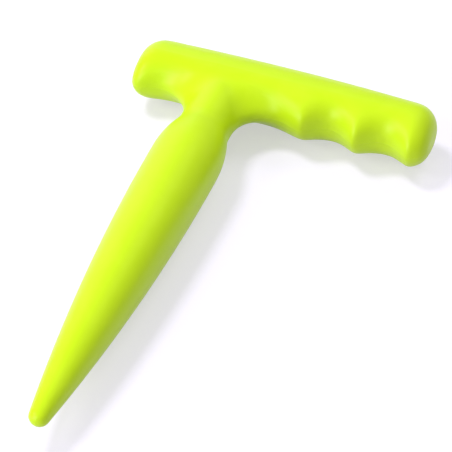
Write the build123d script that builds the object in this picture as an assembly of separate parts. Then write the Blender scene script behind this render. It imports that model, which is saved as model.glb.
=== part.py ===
"""T-handled plastic dibber, moulded as two half shells that meet in the plane of the T.

The working frame has the handle along X, with the long arm on +X, and the spike pointing to -Y. The two axes cross
at the working origin, and the parting plane is Z = 0. The finished shells are placed lying flat, as the tool rests.
"""

import os
from math import acos, atan2, cos, degrees, pi, radians, sin, sqrt

from build123d import *

# Whole tool, in mm
BELLY_DIAMETER = 27.8
HANDLE_THICKNESS = 23.0
SHORT_ARM = 37.0
LONG_ARM = 84.9
AXIS_TO_TIP = 186.4

# Palm side of the handle: a long low crown
PALM_DEPTH = 15.3
PALM_APEX = 19.0
PALM_DROP_SHORT = 1.6
PALM_DROP_LONG = 3.4

# Finger side of the handle: crests between grooves, one groove on the short arm and three on the long arm.
# The short arm ends before its groove has risen to a crest
SHORT_CREST = -39.1
SHORT_CREST_DEPTH = 13.3
NECK_CREST_DEPTH = 13.8
FIRST_CREST = 34.8
FINGER_PITCH = 21.8
CREST_DEPTH = 13.6
CREST_STEP = 0.15
SHORT_GROOVE = 4.4
NECK_GROOVE = 4.6
FINGER_GROOVE = 4.9
NECK_ROUNDNESS = 0.6
CREST_ROUNDNESS = 0.25

# Rounding of the handle's two ends: palm side, finger side and the two flanks
SHORT_END_PALM = 9.6
SHORT_END_FINGER = 5.6
SHORT_END_FLANK = 8.4
LONG_END_PALM = 8.95
LONG_END_FINGER = 7.3
LONG_END_FLANK = 8.9

# Spike: neck, shoulder, belly, long arc to a blunt tip
NECK_RADIUS = 10.4
NECK_END = 24.9
BELLY_AT = 46.6
NECK_ARC_SHARE = 0.24
TIP_RADIUS = 3.9
NECK_BLEND = 13.5

# Shell walls and the solid tip
WALL = 2.6
HOLLOW_TIP_RADIUS = 3.5

# Tongue and groove round the rim
TONGUE_INSET = 0.85
TONGUE_WIDTH = 0.9
TONGUE_HEIGHT = 1.0
RIM_CLEARANCE = 0.1

# Ribs: their tops stay below the parting plane
RIB_THICKNESS = 1.4
WEB_DROP = 3.0
SPINE_DROP = 4.5
HANDLE_WEBS = (-20.0, FIRST_CREST, FIRST_CREST + FINGER_PITCH)
SPIKE_WEBS = (-50.0, -76.0, -102.0, -128.0)
SPINE_OFFSET = 3.0
SPINE_END = -150.0

# Locating pins on the lower shell, sockets in the upper one
POST_RADIUS = 3.6
PIN_RADIUS = 2.0
PIN_HEIGHT = 5.0
PIN_LEAD = 0.6
SOCKET_CLEARANCE = 0.1
POSTS = (
    (HANDLE_WEBS[0], SPINE_OFFSET),
    (HANDLE_WEBS[-1], SPINE_OFFSET),
    (0.0, SPIKE_WEBS[0]),
    (0.0, SPIKE_WEBS[-1]),
)

# Sampling of the handle's sections
END_ANGLES = (0, 15, 30, 45, 60, 75, 90)
GROOVE_SHARES = (0, 0.04, 0.1, 0.2, 0.35, 0.5, 0.65, 0.8, 0.9, 0.96)
END_MARGIN = 2.0

# Worked out from the sizes above
BELLY_RADIUS = BELLY_DIAMETER / 2
FLANK_DEPTH = HANDLE_THICKNESS / 2
CRESTS = [(SHORT_CREST, SHORT_CREST_DEPTH, NECK_ROUNDNESS), (0.0, NECK_CREST_DEPTH, NECK_ROUNDNESS)]
for i in range(3):
    CRESTS.append((FIRST_CREST + i * FINGER_PITCH, CREST_DEPTH + i * CREST_STEP, CREST_ROUNDNESS))
GROOVES = (SHORT_GROOVE, NECK_GROOVE, FINGER_GROOVE, FINGER_GROOVE)
SHORT_END = max(SHORT_END_PALM, SHORT_END_FINGER, SHORT_END_FLANK)
LONG_END = max(LONG_END_PALM, LONG_END_FINGER, LONG_END_FLANK)
BIG = 4 * AXIS_TO_TIP


def palm_depth(x):
    """Distance from the handle's axis to its palm side."""
    if x < PALM_APEX:
        return PALM_DEPTH - PALM_DROP_SHORT * ((PALM_APEX - x) / (PALM_APEX + SHORT_ARM)) ** 2
    return PALM_DEPTH - PALM_DROP_LONG * ((x - PALM_APEX) / (LONG_ARM - PALM_APEX)) ** 2


def finger_depth(x):
    """Distance from the handle's axis to its finger side, with round grooves between narrower crests."""
    x = min(max(x, CRESTS[0][0]), CRESTS[-1][0])
    for first, last, groove in zip(CRESTS, CRESTS[1:], GROOVES):
        if x <= last[0]:
            break
    along = (x - first[0]) / (last[0] - first[0])
    crest_line, roundness = (a + (b - a) * along for a, b in zip(first[1:], last[1:]))
    bowl = sqrt(sin(pi * along) ** 2 + roundness**2) - roundness
    deepest = sqrt(1 + roundness**2) - roundness
    return crest_line - groove * bowl / deepest


def end_rounding(gap, radius):
    """How far a side draws in at this gap from a flat end whose edge is rounded."""
    gap = min(max(gap, 0), radius)
    return radius - sqrt(radius**2 - (radius - gap) ** 2)


def handle_section(x, inset):
    """One section of the handle: a palm half and a finger half that meet on the two flanks."""

    def drawn_in(depth, short_end, long_end):
        short_gap = x + SHORT_ARM - inset
        long_gap = LONG_ARM - inset - x
        rounding = end_rounding(short_gap, short_end - inset) + end_rounding(long_gap, long_end - inset)
        return depth - inset - rounding

    palm = drawn_in(palm_depth(x), SHORT_END_PALM, LONG_END_PALM)
    finger = drawn_in(finger_depth(x), SHORT_END_FINGER, LONG_END_FINGER)
    flank = drawn_in(FLANK_DEPTH, SHORT_END_FLANK, LONG_END_FLANK)
    across = Plane(origin=(x, 0, 0), x_dir=(0, 1, 0), z_dir=(1, 0, 0))
    with BuildSketch(across) as section:
        with BuildLine():
            EllipticalCenterArc((0, 0), palm, flank, -90, arc_size=180)
            EllipticalCenterArc((0, 0), finger, flank, 90, arc_size=180)
        make_face()
    return section.sketch.face()


def handle_stations(inset):
    """Places along the handle: close together round the ends and at the crests."""
    short_end = [inset - SHORT_ARM + (SHORT_END - inset) * (1 - cos(radians(a))) for a in END_ANGLES]
    long_end = [LONG_ARM - inset - (LONG_END - inset) * (1 - cos(radians(a))) for a in reversed(END_ANGLES)]
    middle = []
    for (start, *_), (end, *_) in zip(CRESTS, CRESTS[1:]):
        middle += [start + (end - start) * share for share in GROOVE_SHARES]
    first, last = short_end[-1] + END_MARGIN, long_end[0] - END_MARGIN
    return short_end + [x for x in middle if first < x < last] + long_end


def handle(inset):
    """The handle, drawn in all round by inset."""
    return loft([handle_section(x, inset) for x in handle_stations(inset)])


def spike(inset, end_radius):
    """The neck and spike, turned about the spike's axis and drawn in by inset, with a round end."""
    rise, run = BELLY_RADIUS - NECK_RADIUS, BELLY_AT - NECK_END
    turn = 2 * atan2(rise, run)
    arcs = run / sin(turn)
    neck_arc = arcs * NECK_ARC_SHARE
    shoulder_arc = arcs - neck_arc
    reach = AXIS_TO_TIP - BELLY_AT - TIP_RADIUS
    taper_arc = (reach**2 / (BELLY_RADIUS - TIP_RADIUS) + BELLY_RADIUS + TIP_RADIUS) / 2
    lean = acos((taper_arc - BELLY_RADIUS) / (taper_arc - inset - end_radius))
    half_section = Plane(origin=(0, 0, 0), x_dir=(0, 0, 1), z_dir=(-1, 0, 0))
    with BuildPart() as turned:
        with BuildSketch(half_section):
            with BuildLine():
                inside = Line((0, 0), (NECK_RADIUS - inset, 0))
                neck = Line(inside @ 1, (NECK_RADIUS - inset, -NECK_END))
                hollow = JernArc(neck @ 1, (0, -1), neck_arc + inset, degrees(turn))
                shoulder = JernArc(hollow @ 1, hollow % 1, shoulder_arc - inset, -degrees(turn))
                taper = JernArc(shoulder @ 1, shoulder % 1, taper_arc - inset, -degrees(lean))
                tip = JernArc(taper @ 1, taper % 1, end_radius, degrees(lean) - 90)
                Line(tip @ 1, (0, 0))
            make_face()
        revolve(axis=Axis.Y)
    return turned.part


def form(inset, end_radius):
    """Handle and spike together, drawn in by inset, with the neck blended into the handle."""
    bar, stem = handle(inset), spike(inset, end_radius)
    tee = bar + stem
    return fillet(new_edges(bar, stem, combined=tee), NECK_BLEND + inset)


def below_plane(top):
    """Everything below a height."""
    return Pos(0, 0, top - BIG / 2) * Box(BIG, BIG, BIG)


def ribs():
    """Cross webs and spines, as slabs that the hollow is cut round."""
    webs = [Pos(x, 0, 0) * Box(RIB_THICKNESS, BIG, BIG) for x in HANDLE_WEBS]
    webs += [Pos(0, y, 0) * Box(BIG, RIB_THICKNESS, BIG) for y in SPIKE_WEBS]
    spines = [Pos(0, SPINE_OFFSET, 0) * Box(BIG, RIB_THICKNESS, BIG)]
    spines += [Pos(0, SPINE_END / 2, 0) * Box(RIB_THICKNESS, -SPINE_END, BIG)]
    return webs, spines


def half_hollow():
    """The lower half of the space inside, with ribs and posts left standing in it."""
    space = form(WALL, HOLLOW_TIP_RADIUS) & below_plane(0)
    webs, spines = ribs()
    space -= [web & below_plane(-WEB_DROP) for web in webs]
    space -= [spine & below_plane(-SPINE_DROP) for spine in spines]
    space -= [Pos(x, y, -BELLY_RADIUS / 2) * Cylinder(POST_RADIUS, BELLY_RADIUS) for x, y in POSTS]
    return space


def rim_ring(clearance):
    """A ring that follows the rim inside the wall, as tall as the tongue and its clearance."""
    outside = TONGUE_INSET - clearance
    inside = TONGUE_INSET + TONGUE_WIDTH + clearance
    ring = form(outside, TIP_RADIUS - outside) - form(inside, TIP_RADIUS - inside)
    height = TONGUE_HEIGHT + 2 * clearance
    return ring & Box(BIG, BIG, 2 * height)


def pin():
    """A locating pin with a tapered lead, rooted in its post."""
    shaft = Cylinder(PIN_RADIUS, 2 * PIN_HEIGHT)
    return chamfer(shaft.edges().sort_by(Axis.Z)[-1], PIN_LEAD)


def lower_shell(half, hollow):
    """The half with the tongue and the pins."""
    shell = half - hollow
    shell += rim_ring(0)
    shell += [Pos(x, y, 0) * pin() for x, y in POSTS]
    return shell


def upper_shell(half, hollow):
    """The half with the groove and the sockets."""
    shell = half - hollow
    shell -= rim_ring(RIM_CLEARANCE)
    socket = Cylinder(PIN_RADIUS + SOCKET_CLEARANCE, 2 * (PIN_HEIGHT + SOCKET_CLEARANCE))
    shell -= [Pos(x, y, 0) * socket for x, y in POSTS]
    return shell


def main():
    os.makedirs("parts", exist_ok=True)
    half = form(0, TIP_RADIUS) & below_plane(0)
    hollow = half_hollow()
    lying = Pos((SHORT_ARM - LONG_ARM) / 2, (AXIS_TO_TIP - PALM_DEPTH) / 2, BELLY_RADIUS)
    lower = lower_shell(half, hollow)
    upper = upper_shell(mirror(half, about=Plane.XY), mirror(hollow, about=Plane.XY))
    export_step(lying * lower, "parts/lower_shell.step")
    export_step(lying * upper, "parts/upper_shell.step")


if __name__ == "__main__":
    main()
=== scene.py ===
"""Lime plastic dibber: the finish of its two shells, the weld line between them, and the studio round it.

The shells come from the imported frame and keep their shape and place. Everything is in metres, in the frame's
axes: the tool lies flat, the handle runs along X and the spike points to -Y.
"""

from collections import namedtuple
from math import cos, radians, sin

import bpy
import bmesh
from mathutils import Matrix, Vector


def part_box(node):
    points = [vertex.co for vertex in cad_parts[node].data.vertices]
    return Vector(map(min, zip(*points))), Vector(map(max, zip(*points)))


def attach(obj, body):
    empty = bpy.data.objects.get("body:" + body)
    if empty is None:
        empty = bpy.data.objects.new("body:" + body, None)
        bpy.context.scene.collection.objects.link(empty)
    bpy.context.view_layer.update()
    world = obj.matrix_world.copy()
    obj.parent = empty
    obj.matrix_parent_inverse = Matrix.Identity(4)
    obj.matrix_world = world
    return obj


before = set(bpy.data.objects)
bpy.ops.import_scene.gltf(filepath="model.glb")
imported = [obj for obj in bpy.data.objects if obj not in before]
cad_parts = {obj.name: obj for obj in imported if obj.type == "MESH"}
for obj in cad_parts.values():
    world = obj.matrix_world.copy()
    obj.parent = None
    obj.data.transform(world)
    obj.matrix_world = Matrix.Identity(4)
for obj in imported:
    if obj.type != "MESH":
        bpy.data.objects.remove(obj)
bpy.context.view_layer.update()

bl_info = {
    "name": "Lime Dibber",
    "version": (1, 0, 0),
    "blender": (4, 5, 0),
    "location": "3D View > Sidebar > Dibber",
    "description": "Finishes a two-shell plastic dibber, lays its weld line and sets a pale studio",
    "category": "Object",
}

MM = 0.001
SHELLS = ("lower_shell", "upper_shell")
BODY = "root"

# Photograph: the square picture's side in pixels, and the camera's sensor width in millimetres
PICTURE_SIDE = 452
SENSOR_WIDTH = 36.0

# Moulded surface: the noise of its grain and of its cloudy flow marks, and the share of each in the gloss
GRAIN_DETAIL = 3.0
GRAIN_ROUGHNESS = 0.55
FLOW_DETAIL = 4.0
FLOW_ROUGHNESS = 0.6
FLOW_DISTORTION = 1.2
CLOUD_START = 0.35
CLOUD_FULL = 0.70
GRAIN_SHARE = 0.4
CLOUD_SHARE = 0.6

# Plastic: its refractive index, and the specular level at which Blender leaves that index as it is
PLASTIC_IOR = 1.49
PLAIN_SPECULAR = 0.5

# Rim of a shell: points this close together are one, and points this close to the parting plane are in it
SAME_POINT = 0.0005 * MM
SAME_PLANE = 0.01 * MM

# Soft lamps: power in W, angles in degrees, side in m, and whether matt and glossy surfaces see them
Lamp = namedtuple("Lamp", "place power azimuth elevation side light shine")
LAMPS = {
    "key": Lamp("main lamp, high on the spike's left side", 7.0, 77.0, 62.0, 0.28, True, False),
    "back": Lamp("lamp high behind the long arm", 2.6, -25.0, 48.0, 0.5, True, False),
    "fill": Lamp("low lamp on the handle's finger side", 6.0, 152.0, 15.0, 0.6, True, True),
    "sheen": Lamp("small lamp that draws the highlights in the grooves", 2.2, 124.0, 38.0, 0.34, True, True),
    "panel": Lamp("wide lamp that draws the spike's pale band", 1.7, 40.0, 25.0, 0.9, False, True),
}

# Directions in the frame's axes
LEFT = Vector((-1.0, 0.0, 0.0))
RIGHT = Vector((1.0, 0.0, 0.0))
FRONT = Vector((0.0, -1.0, 0.0))
BACK = Vector((0.0, 1.0, 0.0))
UP = Vector((0.0, 0.0, 1.0))

# Parting plane: its height, at the upper shell's lowest point, and the point in it above the frame's origin
PARTING_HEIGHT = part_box("upper_shell")[0].z
MIDDLE = UP * PARTING_HEIGHT


class PlasticSettings(bpy.types.PropertyGroup):
    """Colour and surface of the moulded plastic."""

    colour: bpy.props.FloatVectorProperty(
        name="Plastic Colour",
        description="Colour of the plastic where it is evenly mixed",
        subtype="COLOR",
        size=4,
        min=0.0,
        max=1.0,
        default=(0.625, 0.905, 0.006, 1.0),
    )
    pale_colour: bpy.props.FloatVectorProperty(
        name="Flow Mark Colour",
        description="Colour of the faint cloudy marks left as the plastic flowed into the mould",
        subtype="COLOR",
        size=4,
        min=0.0,
        max=1.0,
        default=(0.645, 0.915, 0.012, 1.0),
    )
    weld_colour: bpy.props.FloatVectorProperty(
        name="Weld Colour",
        description="Colour of the weld line, a little paler than the shells",
        subtype="COLOR",
        size=4,
        min=0.0,
        max=1.0,
        default=(0.665, 0.925, 0.03, 1.0),
    )
    sheen_colour: bpy.props.FloatVectorProperty(
        name="Highlight Colour",
        description="Tint of the soft highlights, a warm white",
        subtype="COLOR",
        size=4,
        min=0.0,
        max=1.0,
        default=(1.0, 1.0, 0.65, 1.0),
    )
    gloss_low: bpy.props.FloatProperty(
        name="Smoothest Roughness",
        description="Roughness where the surface is most polished",
        subtype="FACTOR",
        min=0.0,
        max=1.0,
        default=0.34,
    )
    gloss_high: bpy.props.FloatProperty(
        name="Dullest Roughness",
        description="Roughness where the surface is most matt",
        subtype="FACTOR",
        min=0.0,
        max=1.0,
        default=0.42,
    )
    grain_size: bpy.props.FloatProperty(
        name="Grain Size",
        description="Width of the fine grain that the mould's surface leaves",
        unit="LENGTH",
        default=0.45 * MM,
    )
    grain_depth: bpy.props.FloatProperty(
        name="Grain Depth",
        description="Depth of the fine grain",
        unit="LENGTH",
        default=0.012 * MM,
    )
    flow_size: bpy.props.FloatProperty(
        name="Flow Mark Size",
        description="Width of the cloudy flow marks",
        unit="LENGTH",
        default=22.0 * MM,
    )


class WeldSettings(bpy.types.PropertyGroup):
    """Size of the weld line."""

    width: bpy.props.FloatProperty(
        name="Weld Width",
        description="Width of the weld line across the joint",
        unit="LENGTH",
        default=0.30 * MM,
    )
    height: bpy.props.FloatProperty(
        name="Weld Height",
        description="How far the weld line stands proud of the shells",
        unit="LENGTH",
        default=0.05 * MM,
    )
    step: bpy.props.FloatProperty(
        name="Weld Step",
        description="Distance between the weld line's sections",
        unit="LENGTH",
        default=0.6 * MM,
    )
    sides: bpy.props.IntProperty(
        name="Weld Sides",
        description="Number of sides of the weld line's section",
        min=6,
        default=10,
    )


class StageSettings(bpy.types.PropertyGroup):
    """Floor, light and camera."""

    floor_colour: bpy.props.FloatVectorProperty(
        name="Floor Colour",
        description="Colour of the pale floor, with a little lilac against the plastic's green bounce",
        subtype="COLOR",
        size=4,
        min=0.0,
        max=1.0,
        default=(0.54, 0.50, 0.64, 1.0),
    )
    floor_lift: bpy.props.FloatProperty(
        name="Floor Lift",
        description="White added to the floor where it is seen, so that it reads as white paper",
        min=0.0,
        default=0.50,
    )
    floor_side: bpy.props.FloatProperty(
        name="Floor Side",
        description="Length of the floor's sides",
        unit="LENGTH",
        default=8.0,
    )
    sky_strength: bpy.props.FloatProperty(
        name="Sky Strength",
        description="Even light from all round",
        min=0.0,
        default=0.49,
    )
    lamp_distance: bpy.props.FloatProperty(
        name="Lamp Distance",
        description="Distance of each soft lamp from the tool",
        unit="LENGTH",
        default=1.2,
    )
    view_azimuth: bpy.props.FloatProperty(
        name="View Azimuth",
        description="Direction that the camera looks from, from -Y towards +X",
        subtype="ANGLE",
        default=radians(20.685),
    )
    view_elevation: bpy.props.FloatProperty(
        name="View Elevation",
        description="Height of the camera above the floor, as an angle",
        subtype="ANGLE",
        default=radians(44.4),
    )
    view_distance: bpy.props.FloatProperty(
        name="View Distance",
        description="Distance of the camera from the point that it aims at",
        unit="LENGTH",
        default=0.89455,
    )
    view_aim: bpy.props.FloatVectorProperty(
        name="View Aim",
        description="Point that the camera aims at, in the parting plane, from the middle of the tool's box",
        subtype="TRANSLATION",
        size=2,
        default=(2.97 * MM, 12.75 * MM),
    )
    view_scale: bpy.props.FloatProperty(
        name="View Scale",
        description="Pixels of the picture for each radian of view at its middle",
        min=1.0,
        default=2413.0,
    )


def lamp_properties(name, lamp):
    """Stage properties of one lamp."""
    title = name.title()
    return {
        f"{name}_power": bpy.props.FloatProperty(
            name=f"{title} Power",
            description=f"Power of the {lamp.place}",
            unit="POWER",
            min=0.0,
            default=lamp.power,
        ),
        f"{name}_azimuth": bpy.props.FloatProperty(
            name=f"{title} Azimuth",
            description=f"Direction of the {lamp.place}, from +Y towards -X",
            subtype="ANGLE",
            default=radians(lamp.azimuth),
        ),
        f"{name}_elevation": bpy.props.FloatProperty(
            name=f"{title} Elevation",
            description=f"Height above the floor of the {lamp.place}, as an angle",
            subtype="ANGLE",
            default=radians(lamp.elevation),
        ),
        f"{name}_side": bpy.props.FloatProperty(
            name=f"{title} Side",
            description=f"Length of the sides of the {lamp.place}",
            unit="LENGTH",
            default=lamp.side,
        ),
        f"{name}_light": bpy.props.BoolProperty(
            name=f"{title} Light",
            description=f"Whether matt surfaces are lit by the {lamp.place}",
            default=lamp.light,
        ),
        f"{name}_shine": bpy.props.BoolProperty(
            name=f"{title} Shine",
            description=f"Whether glossy surfaces show the {lamp.place}",
            default=lamp.shine,
        ),
    }


for lamp_name, lamp_values in LAMPS.items():
    StageSettings.__annotations__.update(lamp_properties(lamp_name, lamp_values))


def empty_material(name):
    """A new material, its emptied node tree and the tree's output node."""
    material = bpy.data.materials.new(name)
    material.use_nodes = True
    tree = material.node_tree
    tree.nodes.clear()
    output = tree.nodes.new("ShaderNodeOutputMaterial")
    return material, tree, output


def moulded_surface_group():
    """Node group for a moulded plastic surface: fine grain, and cloudy marks in colour and gloss."""
    group = bpy.data.node_groups.new("moulded_surface", "ShaderNodeTree")
    for name in ("Grain Scale", "Flow Scale"):
        group.interface.new_socket(name, in_out="INPUT", socket_type="NodeSocketFloat")
    for name in ("Colour Low", "Colour High"):
        group.interface.new_socket(name, in_out="INPUT", socket_type="NodeSocketColor")
    for name in ("Roughness Low", "Roughness High"):
        group.interface.new_socket(name, in_out="INPUT", socket_type="NodeSocketFloat")
    group.interface.new_socket("Colour", in_out="OUTPUT", socket_type="NodeSocketColor")
    for name in ("Roughness", "Height"):
        group.interface.new_socket(name, in_out="OUTPUT", socket_type="NodeSocketFloat")

    nodes, links = group.nodes, group.links
    inside = nodes.new("NodeGroupInput")
    outside = nodes.new("NodeGroupOutput")
    place = nodes.new("ShaderNodeTexCoord")

    grain = nodes.new("ShaderNodeTexNoise")
    grain.inputs["Detail"].default_value = GRAIN_DETAIL
    grain.inputs["Roughness"].default_value = GRAIN_ROUGHNESS
    links.new(place.outputs["Object"], grain.inputs["Vector"])
    links.new(inside.outputs["Grain Scale"], grain.inputs["Scale"])
    links.new(grain.outputs["Fac"], outside.inputs["Height"])

    flow = nodes.new("ShaderNodeTexNoise")
    flow.inputs["Detail"].default_value = FLOW_DETAIL
    flow.inputs["Roughness"].default_value = FLOW_ROUGHNESS
    flow.inputs["Distortion"].default_value = FLOW_DISTORTION
    links.new(place.outputs["Object"], flow.inputs["Vector"])
    links.new(inside.outputs["Flow Scale"], flow.inputs["Scale"])

    cloud = nodes.new("ShaderNodeMapRange")
    cloud.interpolation_type = "SMOOTHSTEP"
    cloud.inputs["From Min"].default_value = CLOUD_START
    cloud.inputs["From Max"].default_value = CLOUD_FULL
    links.new(flow.outputs["Fac"], cloud.inputs["Value"])

    tint = nodes.new("ShaderNodeMix")
    tint.data_type = "RGBA"
    links.new(cloud.outputs["Result"], tint.inputs["Factor"])
    links.new(inside.outputs["Colour Low"], tint.inputs["A"])
    links.new(inside.outputs["Colour High"], tint.inputs["B"])
    links.new(tint.outputs["Result"], outside.inputs["Colour"])

    patch = nodes.new("ShaderNodeMath")
    patch.operation = "MULTIPLY"
    patch.inputs[1].default_value = GRAIN_SHARE
    links.new(grain.outputs["Fac"], patch.inputs[0])
    blend = nodes.new("ShaderNodeMath")
    blend.operation = "MULTIPLY_ADD"
    blend.inputs[1].default_value = CLOUD_SHARE
    links.new(cloud.outputs["Result"], blend.inputs[0])
    links.new(patch.outputs["Value"], blend.inputs[2])
    gloss = nodes.new("ShaderNodeMapRange")
    links.new(blend.outputs["Value"], gloss.inputs["Value"])
    links.new(inside.outputs["Roughness Low"], gloss.inputs["To Min"])
    links.new(inside.outputs["Roughness High"], gloss.inputs["To Max"])
    links.new(gloss.outputs["Result"], outside.inputs["Roughness"])
    return group


def plastic_material(name, settings, low_colour, high_colour):
    """Moulded plastic between two close colours."""
    material, tree, output = empty_material(name)
    surface = tree.nodes.new("ShaderNodeGroup")
    surface.node_tree = bpy.data.node_groups.get("moulded_surface") or moulded_surface_group()
    surface.inputs["Grain Scale"].default_value = 1.0 / settings.grain_size
    surface.inputs["Flow Scale"].default_value = 1.0 / settings.flow_size
    surface.inputs["Colour Low"].default_value = low_colour
    surface.inputs["Colour High"].default_value = high_colour
    surface.inputs["Roughness Low"].default_value = settings.gloss_low
    surface.inputs["Roughness High"].default_value = settings.gloss_high

    bump = tree.nodes.new("ShaderNodeBump")
    bump.inputs["Distance"].default_value = settings.grain_depth
    tree.links.new(surface.outputs["Height"], bump.inputs["Height"])

    plastic = tree.nodes.new("ShaderNodeBsdfPrincipled")
    plastic.inputs["IOR"].default_value = PLASTIC_IOR
    plastic.inputs["Specular IOR Level"].default_value = PLAIN_SPECULAR
    plastic.inputs["Specular Tint"].default_value = settings.sheen_colour
    tree.links.new(surface.outputs["Colour"], plastic.inputs["Base Color"])
    tree.links.new(surface.outputs["Roughness"], plastic.inputs["Roughness"])
    tree.links.new(bump.outputs["Normal"], plastic.inputs["Normal"])
    tree.links.new(plastic.outputs["BSDF"], output.inputs["Surface"])
    return material


def paint(obj, material):
    """Puts one material on the whole of an object."""
    obj.data.materials.clear()
    obj.data.materials.append(material)


def rim_loops(shell):
    """Loops of points along which a shell's flat rim meets its walls, in the parting plane."""
    mesh = bmesh.new()
    mesh.from_mesh(shell.data)
    bmesh.ops.remove_doubles(mesh, verts=mesh.verts, dist=SAME_POINT)

    def in_plane(face):
        return all(abs(v.co.z - PARTING_HEIGHT) < SAME_PLANE for v in face.verts)

    border = {}
    for edge in mesh.edges:
        flat = [in_plane(face) for face in edge.link_faces]
        if any(flat) and not all(flat):
            first, second = edge.verts
            border.setdefault(first.index, []).append(second.index)
            border.setdefault(second.index, []).append(first.index)

    mesh.verts.ensure_lookup_table()
    loops, seen = [], set()
    for start in sorted(border):
        if start in seen:
            continue
        loop, here = [], start
        while here is not None:
            seen.add(here)
            loop.append(mesh.verts[here].co.copy())
            here = next((n for n in border[here] if n not in seen), None)
        loops.append(loop)
    mesh.free()
    return loops


def loop_length(points):
    """Length round a closed loop."""
    return sum((b - a).length for a, b in zip(points, points[1:] + points[:1]))


def weld_tree():
    """Geometry Nodes that lay a flat oval bead along a closed line of edges."""
    tree = bpy.data.node_groups.new("weld_line", "GeometryNodeTree")
    tree.interface.new_socket("Line", in_out="INPUT", socket_type="NodeSocketGeometry")
    for name in ("Width", "Height", "Step"):
        tree.interface.new_socket(name, in_out="INPUT", socket_type="NodeSocketFloat")
    tree.interface.new_socket("Sides", in_out="INPUT", socket_type="NodeSocketInt")
    tree.interface.new_socket("Plastic", in_out="INPUT", socket_type="NodeSocketMaterial")
    tree.interface.new_socket("Weld", in_out="OUTPUT", socket_type="NodeSocketGeometry")

    nodes, links = tree.nodes, tree.links
    inside = nodes.new("NodeGroupInput")
    outside = nodes.new("NodeGroupOutput")

    path = nodes.new("GeometryNodeMeshToCurve")
    links.new(inside.outputs["Line"], path.inputs["Mesh"])
    even = nodes.new("GeometryNodeResampleCurve")
    even.mode = "LENGTH"
    links.new(path.outputs["Curve"], even.inputs["Curve"])
    links.new(inside.outputs["Step"], even.inputs["Length"])
    upright = nodes.new("GeometryNodeSetCurveNormal")
    upright.mode = "Z_UP"
    links.new(even.outputs["Curve"], upright.inputs["Curve"])

    ring = nodes.new("GeometryNodeCurvePrimitiveCircle")
    ring.inputs["Radius"].default_value = 1.0
    links.new(inside.outputs["Sides"], ring.inputs["Resolution"])
    half_width = nodes.new("ShaderNodeMath")
    half_width.operation = "MULTIPLY"
    half_width.inputs[1].default_value = 0.5
    links.new(inside.outputs["Width"], half_width.inputs[0])
    oval = nodes.new("ShaderNodeCombineXYZ")
    links.new(inside.outputs["Height"], oval.inputs["X"])
    links.new(half_width.outputs["Value"], oval.inputs["Y"])
    oval.inputs["Z"].default_value = 1.0
    section = nodes.new("GeometryNodeTransform")
    links.new(ring.outputs["Curve"], section.inputs["Geometry"])
    links.new(oval.outputs["Vector"], section.inputs["Scale"])

    bead = nodes.new("GeometryNodeCurveToMesh")
    links.new(upright.outputs["Curve"], bead.inputs["Curve"])
    links.new(section.outputs["Geometry"], bead.inputs["Profile Curve"])
    smooth = nodes.new("GeometryNodeSetShadeSmooth")
    links.new(bead.outputs["Mesh"], smooth.inputs["Geometry"])
    real = nodes.new("GeometryNodeRealizeInstances")
    links.new(smooth.outputs["Geometry"], real.inputs["Geometry"])
    plastic = nodes.new("GeometryNodeSetMaterial")
    links.new(real.outputs["Geometry"], plastic.inputs["Geometry"])
    links.new(inside.outputs["Plastic"], plastic.inputs["Material"])
    links.new(plastic.outputs["Geometry"], outside.inputs["Weld"])
    return tree


def grown_mesh(name, source, tree, values):
    """Runs a Geometry Nodes tree on a source mesh and returns the result as a plain object."""
    obj = bpy.data.objects.new(name, source)
    bpy.context.scene.collection.objects.link(obj)
    modifier = obj.modifiers.new(name, "NODES")
    modifier.node_group = tree
    inputs = [item for item in tree.interface.items_tree if item.in_out == "INPUT"]
    identifiers = {item.name: item.identifier for item in inputs}
    for key, value in values.items():
        modifier[identifiers[key]] = value
    evaluated = obj.evaluated_get(bpy.context.evaluated_depsgraph_get())
    mesh = bpy.data.meshes.new_from_object(evaluated)
    obj.modifiers.remove(modifier)
    obj.data = mesh
    mesh.name = name
    return obj


def outward(azimuth, elevation, start, side):
    """Unit direction at an elevation, turned by an azimuth from one level direction towards another."""
    level = start * cos(azimuth) + side * sin(azimuth)
    return level * cos(elevation) + UP * sin(elevation)


def seen_mask(tree):
    """Output of 1 for rays that show a surface, straight, mirrored or through glass, and 0 for the rest."""
    path = tree.nodes.new("ShaderNodeLightPath")
    seen = path.outputs["Is Camera Ray"]
    for ray in ("Is Glossy Ray", "Is Transmission Ray"):
        either = tree.nodes.new("ShaderNodeMath")
        either.operation = "MAXIMUM"
        tree.links.new(seen, either.inputs[0])
        tree.links.new(path.outputs[ray], either.inputs[1])
        seen = either.outputs["Value"]
    return seen


def floor_material(settings):
    """Pale matt floor that keeps shadows and is lifted to white where it is seen."""
    material, tree, output = empty_material("pale_floor")
    matt = tree.nodes.new("ShaderNodeBsdfDiffuse")
    matt.inputs["Color"].default_value = settings.floor_colour
    lift = tree.nodes.new("ShaderNodeMath")
    lift.operation = "MULTIPLY"
    lift.inputs[1].default_value = settings.floor_lift
    tree.links.new(seen_mask(tree), lift.inputs[0])
    glow = tree.nodes.new("ShaderNodeEmission")
    tree.links.new(lift.outputs["Value"], glow.inputs["Strength"])
    both = tree.nodes.new("ShaderNodeAddShader")
    tree.links.new(matt.outputs["BSDF"], both.inputs[0])
    tree.links.new(glow.outputs["Emission"], both.inputs[1])
    tree.links.new(both.outputs["Shader"], output.inputs["Surface"])
    return material


def studio_world(settings):
    """Even light from all round."""
    world = bpy.data.worlds.new("studio")
    world.use_nodes = True
    tree = world.node_tree
    tree.nodes.clear()
    output = tree.nodes.new("ShaderNodeOutputWorld")
    sky = tree.nodes.new("ShaderNodeBackground")
    sky.inputs["Strength"].default_value = settings.sky_strength
    tree.links.new(sky.outputs["Background"], output.inputs["Surface"])
    return world


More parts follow.
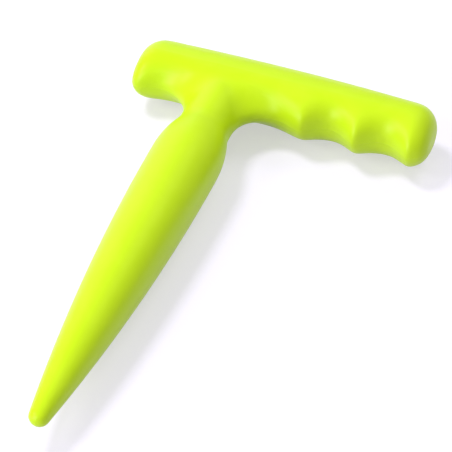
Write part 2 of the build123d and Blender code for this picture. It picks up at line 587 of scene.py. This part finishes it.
def soft_lamp(name, power, side, aim, offset):
    """A square soft lamp at an offset from the point that it aims at."""
    lamp = bpy.data.lights.new(name, "AREA")
    lamp.energy = power
    lamp.size = side
    obj = bpy.data.objects.new(name, lamp)
    obj.location = aim + offset
    obj.rotation_euler = offset.to_track_quat("Z", "Y").to_euler()
    bpy.context.scene.collection.objects.link(obj)
    return obj


def lay_floor(stage):
    """Lays a square floor under the tool."""
    half = stage.floor_side / 2
    corners = [(-half, -half, 0.0), (half, -half, 0.0), (half, half, 0.0), (-half, half, 0.0)]
    sheet = bpy.data.meshes.new("floor")
    sheet.from_pydata(corners, [], [(0, 1, 2, 3)])
    floor = bpy.data.objects.new("floor", sheet)
    paint(floor, floor_material(stage))
    bpy.context.scene.collection.objects.link(floor)


def hang_lamps(stage):
    """Hangs the soft lamps round the tool, all aimed at its middle."""

    def setting(lamp, field):
        return getattr(stage, f"{lamp}_{field}")

    for lamp in LAMPS:
        towards = outward(setting(lamp, "azimuth"), setting(lamp, "elevation"), BACK, LEFT)
        offset = towards * stage.lamp_distance
        bulb = soft_lamp(lamp, setting(lamp, "power"), setting(lamp, "side"), MIDDLE, offset)
        bulb.visible_diffuse = setting(lamp, "light")
        bulb.visible_glossy = setting(lamp, "shine")


def aim_camera(stage):
    """Sets the camera at the photograph's viewing angle."""
    scene = bpy.context.scene
    lens = bpy.data.cameras.new("camera")
    lens.sensor_width = SENSOR_WIDTH
    lens.lens = SENSOR_WIDTH * stage.view_scale / PICTURE_SIDE
    towards = outward(stage.view_azimuth, stage.view_elevation, FRONT, RIGHT)
    aim = MIDDLE + Vector((*stage.view_aim, 0.0))
    camera = bpy.data.objects.new("camera", lens)
    camera.location = aim + towards * stage.view_distance
    camera.rotation_euler = towards.to_track_quat("Z", "Y").to_euler()
    scene.collection.objects.link(camera)
    scene.camera = camera


class DIBBER_OT_finish_shells(bpy.types.Operator):
    """Give the two moulded shells their lime plastic"""

    bl_idname = "dibber.finish_shells"
    bl_label = "Finish Shells"

    def execute(self, context):
        settings = context.scene.dibber_plastic
        lime = plastic_material("lime_shell", settings, settings.colour, settings.pale_colour)
        for node in SHELLS:
            paint(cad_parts[node], lime)
        return {"FINISHED"}


class DIBBER_OT_lay_weld_line(bpy.types.Operator):
    """Lay the thin weld line round the rim where the two shells meet"""

    bl_idname = "dibber.lay_weld_line"
    bl_label = "Lay Weld Line"

    def execute(self, context):
        plastic, weld = context.scene.dibber_plastic, context.scene.dibber_weld
        rim = max(rim_loops(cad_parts["lower_shell"]), key=loop_length)
        line = bpy.data.meshes.new("rim_line")
        edges = [(i, (i + 1) % len(rim)) for i in range(len(rim))]
        line.from_pydata(rim, edges, [])
        values = {
            "Width": weld.width,
            "Height": weld.height,
            "Step": weld.step,
            "Sides": weld.sides,
            "Plastic": plastic_material("lime_weld", plastic, plastic.colour, plastic.weld_colour),
        }
        bead = grown_mesh("weld_line", line, weld_tree(), values)
        if not bead.data.polygons:
            raise RuntimeError("the weld line has no faces")
        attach(bead, BODY)
        return {"FINISHED"}


class DIBBER_OT_set_stage(bpy.types.Operator):
    """Set the pale floor, the soft light and the camera"""

    bl_idname = "dibber.set_stage"
    bl_label = "Set Stage"

    def execute(self, context):
        scene, stage = context.scene, context.scene.dibber_stage
        scene.view_settings.view_transform = "Standard"
        scene.world = studio_world(stage)
        lay_floor(stage)
        hang_lamps(stage)
        aim_camera(stage)
        return {"FINISHED"}


class DIBBER_PT_build(bpy.types.Panel):
    """Lists the dibber's settings and steps"""

    bl_idname = "DIBBER_PT_build"
    bl_label = "Dibber"
    bl_space_type = "VIEW_3D"
    bl_region_type = "UI"
    bl_category = "Dibber"

    def draw(self, context):
        for settings, operator in zip(SETTINGS, OPERATORS):
            box = self.layout.box()
            group = getattr(context.scene, settings)
            for name in group.bl_rna.properties.keys():
                if name not in ("name", "rna_type"):
                    box.prop(group, name)
            box.operator(operator.bl_idname)


SETTINGS = {
    "dibber_plastic": PlasticSettings,
    "dibber_weld": WeldSettings,
    "dibber_stage": StageSettings,
}
OPERATORS = (DIBBER_OT_finish_shells, DIBBER_OT_lay_weld_line, DIBBER_OT_set_stage)
CLASSES = (*SETTINGS.values(), *OPERATORS, DIBBER_PT_build)


def register():
    """Registers the classes and gives the scene their settings."""
    for cls in CLASSES:
        bpy.utils.register_class(cls)
    for name, group in SETTINGS.items():
        setattr(bpy.types.Scene, name, bpy.props.PointerProperty(type=group))


def unregister():
    """Takes the settings off the scene and unregisters the classes."""
    for name in SETTINGS:
        delattr(bpy.types.Scene, name)
    for cls in reversed(CLASSES):
        bpy.utils.unregister_class(cls)


def main():
    """Builds the scene step by step."""
    register()
    bpy.ops.dibber.finish_shells()
    bpy.ops.dibber.lay_weld_line()
    bpy.ops.dibber.set_stage()


if __name__ == "__main__":
    main()
